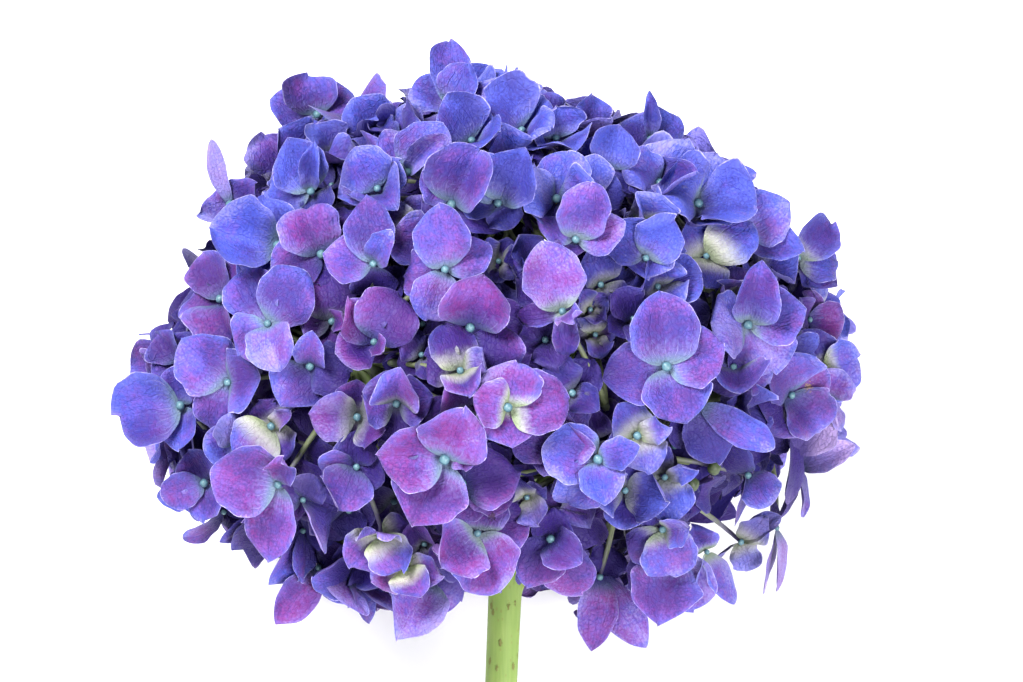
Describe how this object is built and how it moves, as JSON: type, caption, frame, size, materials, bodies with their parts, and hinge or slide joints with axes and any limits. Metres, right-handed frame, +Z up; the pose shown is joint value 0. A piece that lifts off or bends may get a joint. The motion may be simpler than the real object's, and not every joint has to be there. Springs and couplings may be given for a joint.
{
  "type": "hydrangea flower head",
  "caption": "Cut mophead hydrangea: a full dome of four-petalled blue-violet florets on rays that fan out of a short bare green stem, lying on its back.",
  "frame": {"origin": "under the middle of the bounding box, on the surface that the flower lies on", "axes": "+Z up from that surface, +Y from the stem's cut end towards the crown of the head, +X to the right when the best side is looked down on with the stem nearest"},
  "size_m": [0.1952, 0.2317, 0.1807],
  "materials": {
    "floret_head": "soft matt petal",
    "stem_and_rays": "satin green stem"
  },
  "bodies": {
    "root": {"floret_head": "floret_head", "stem_and_rays": "stem_and_rays"}
  },
  "joints": []
}
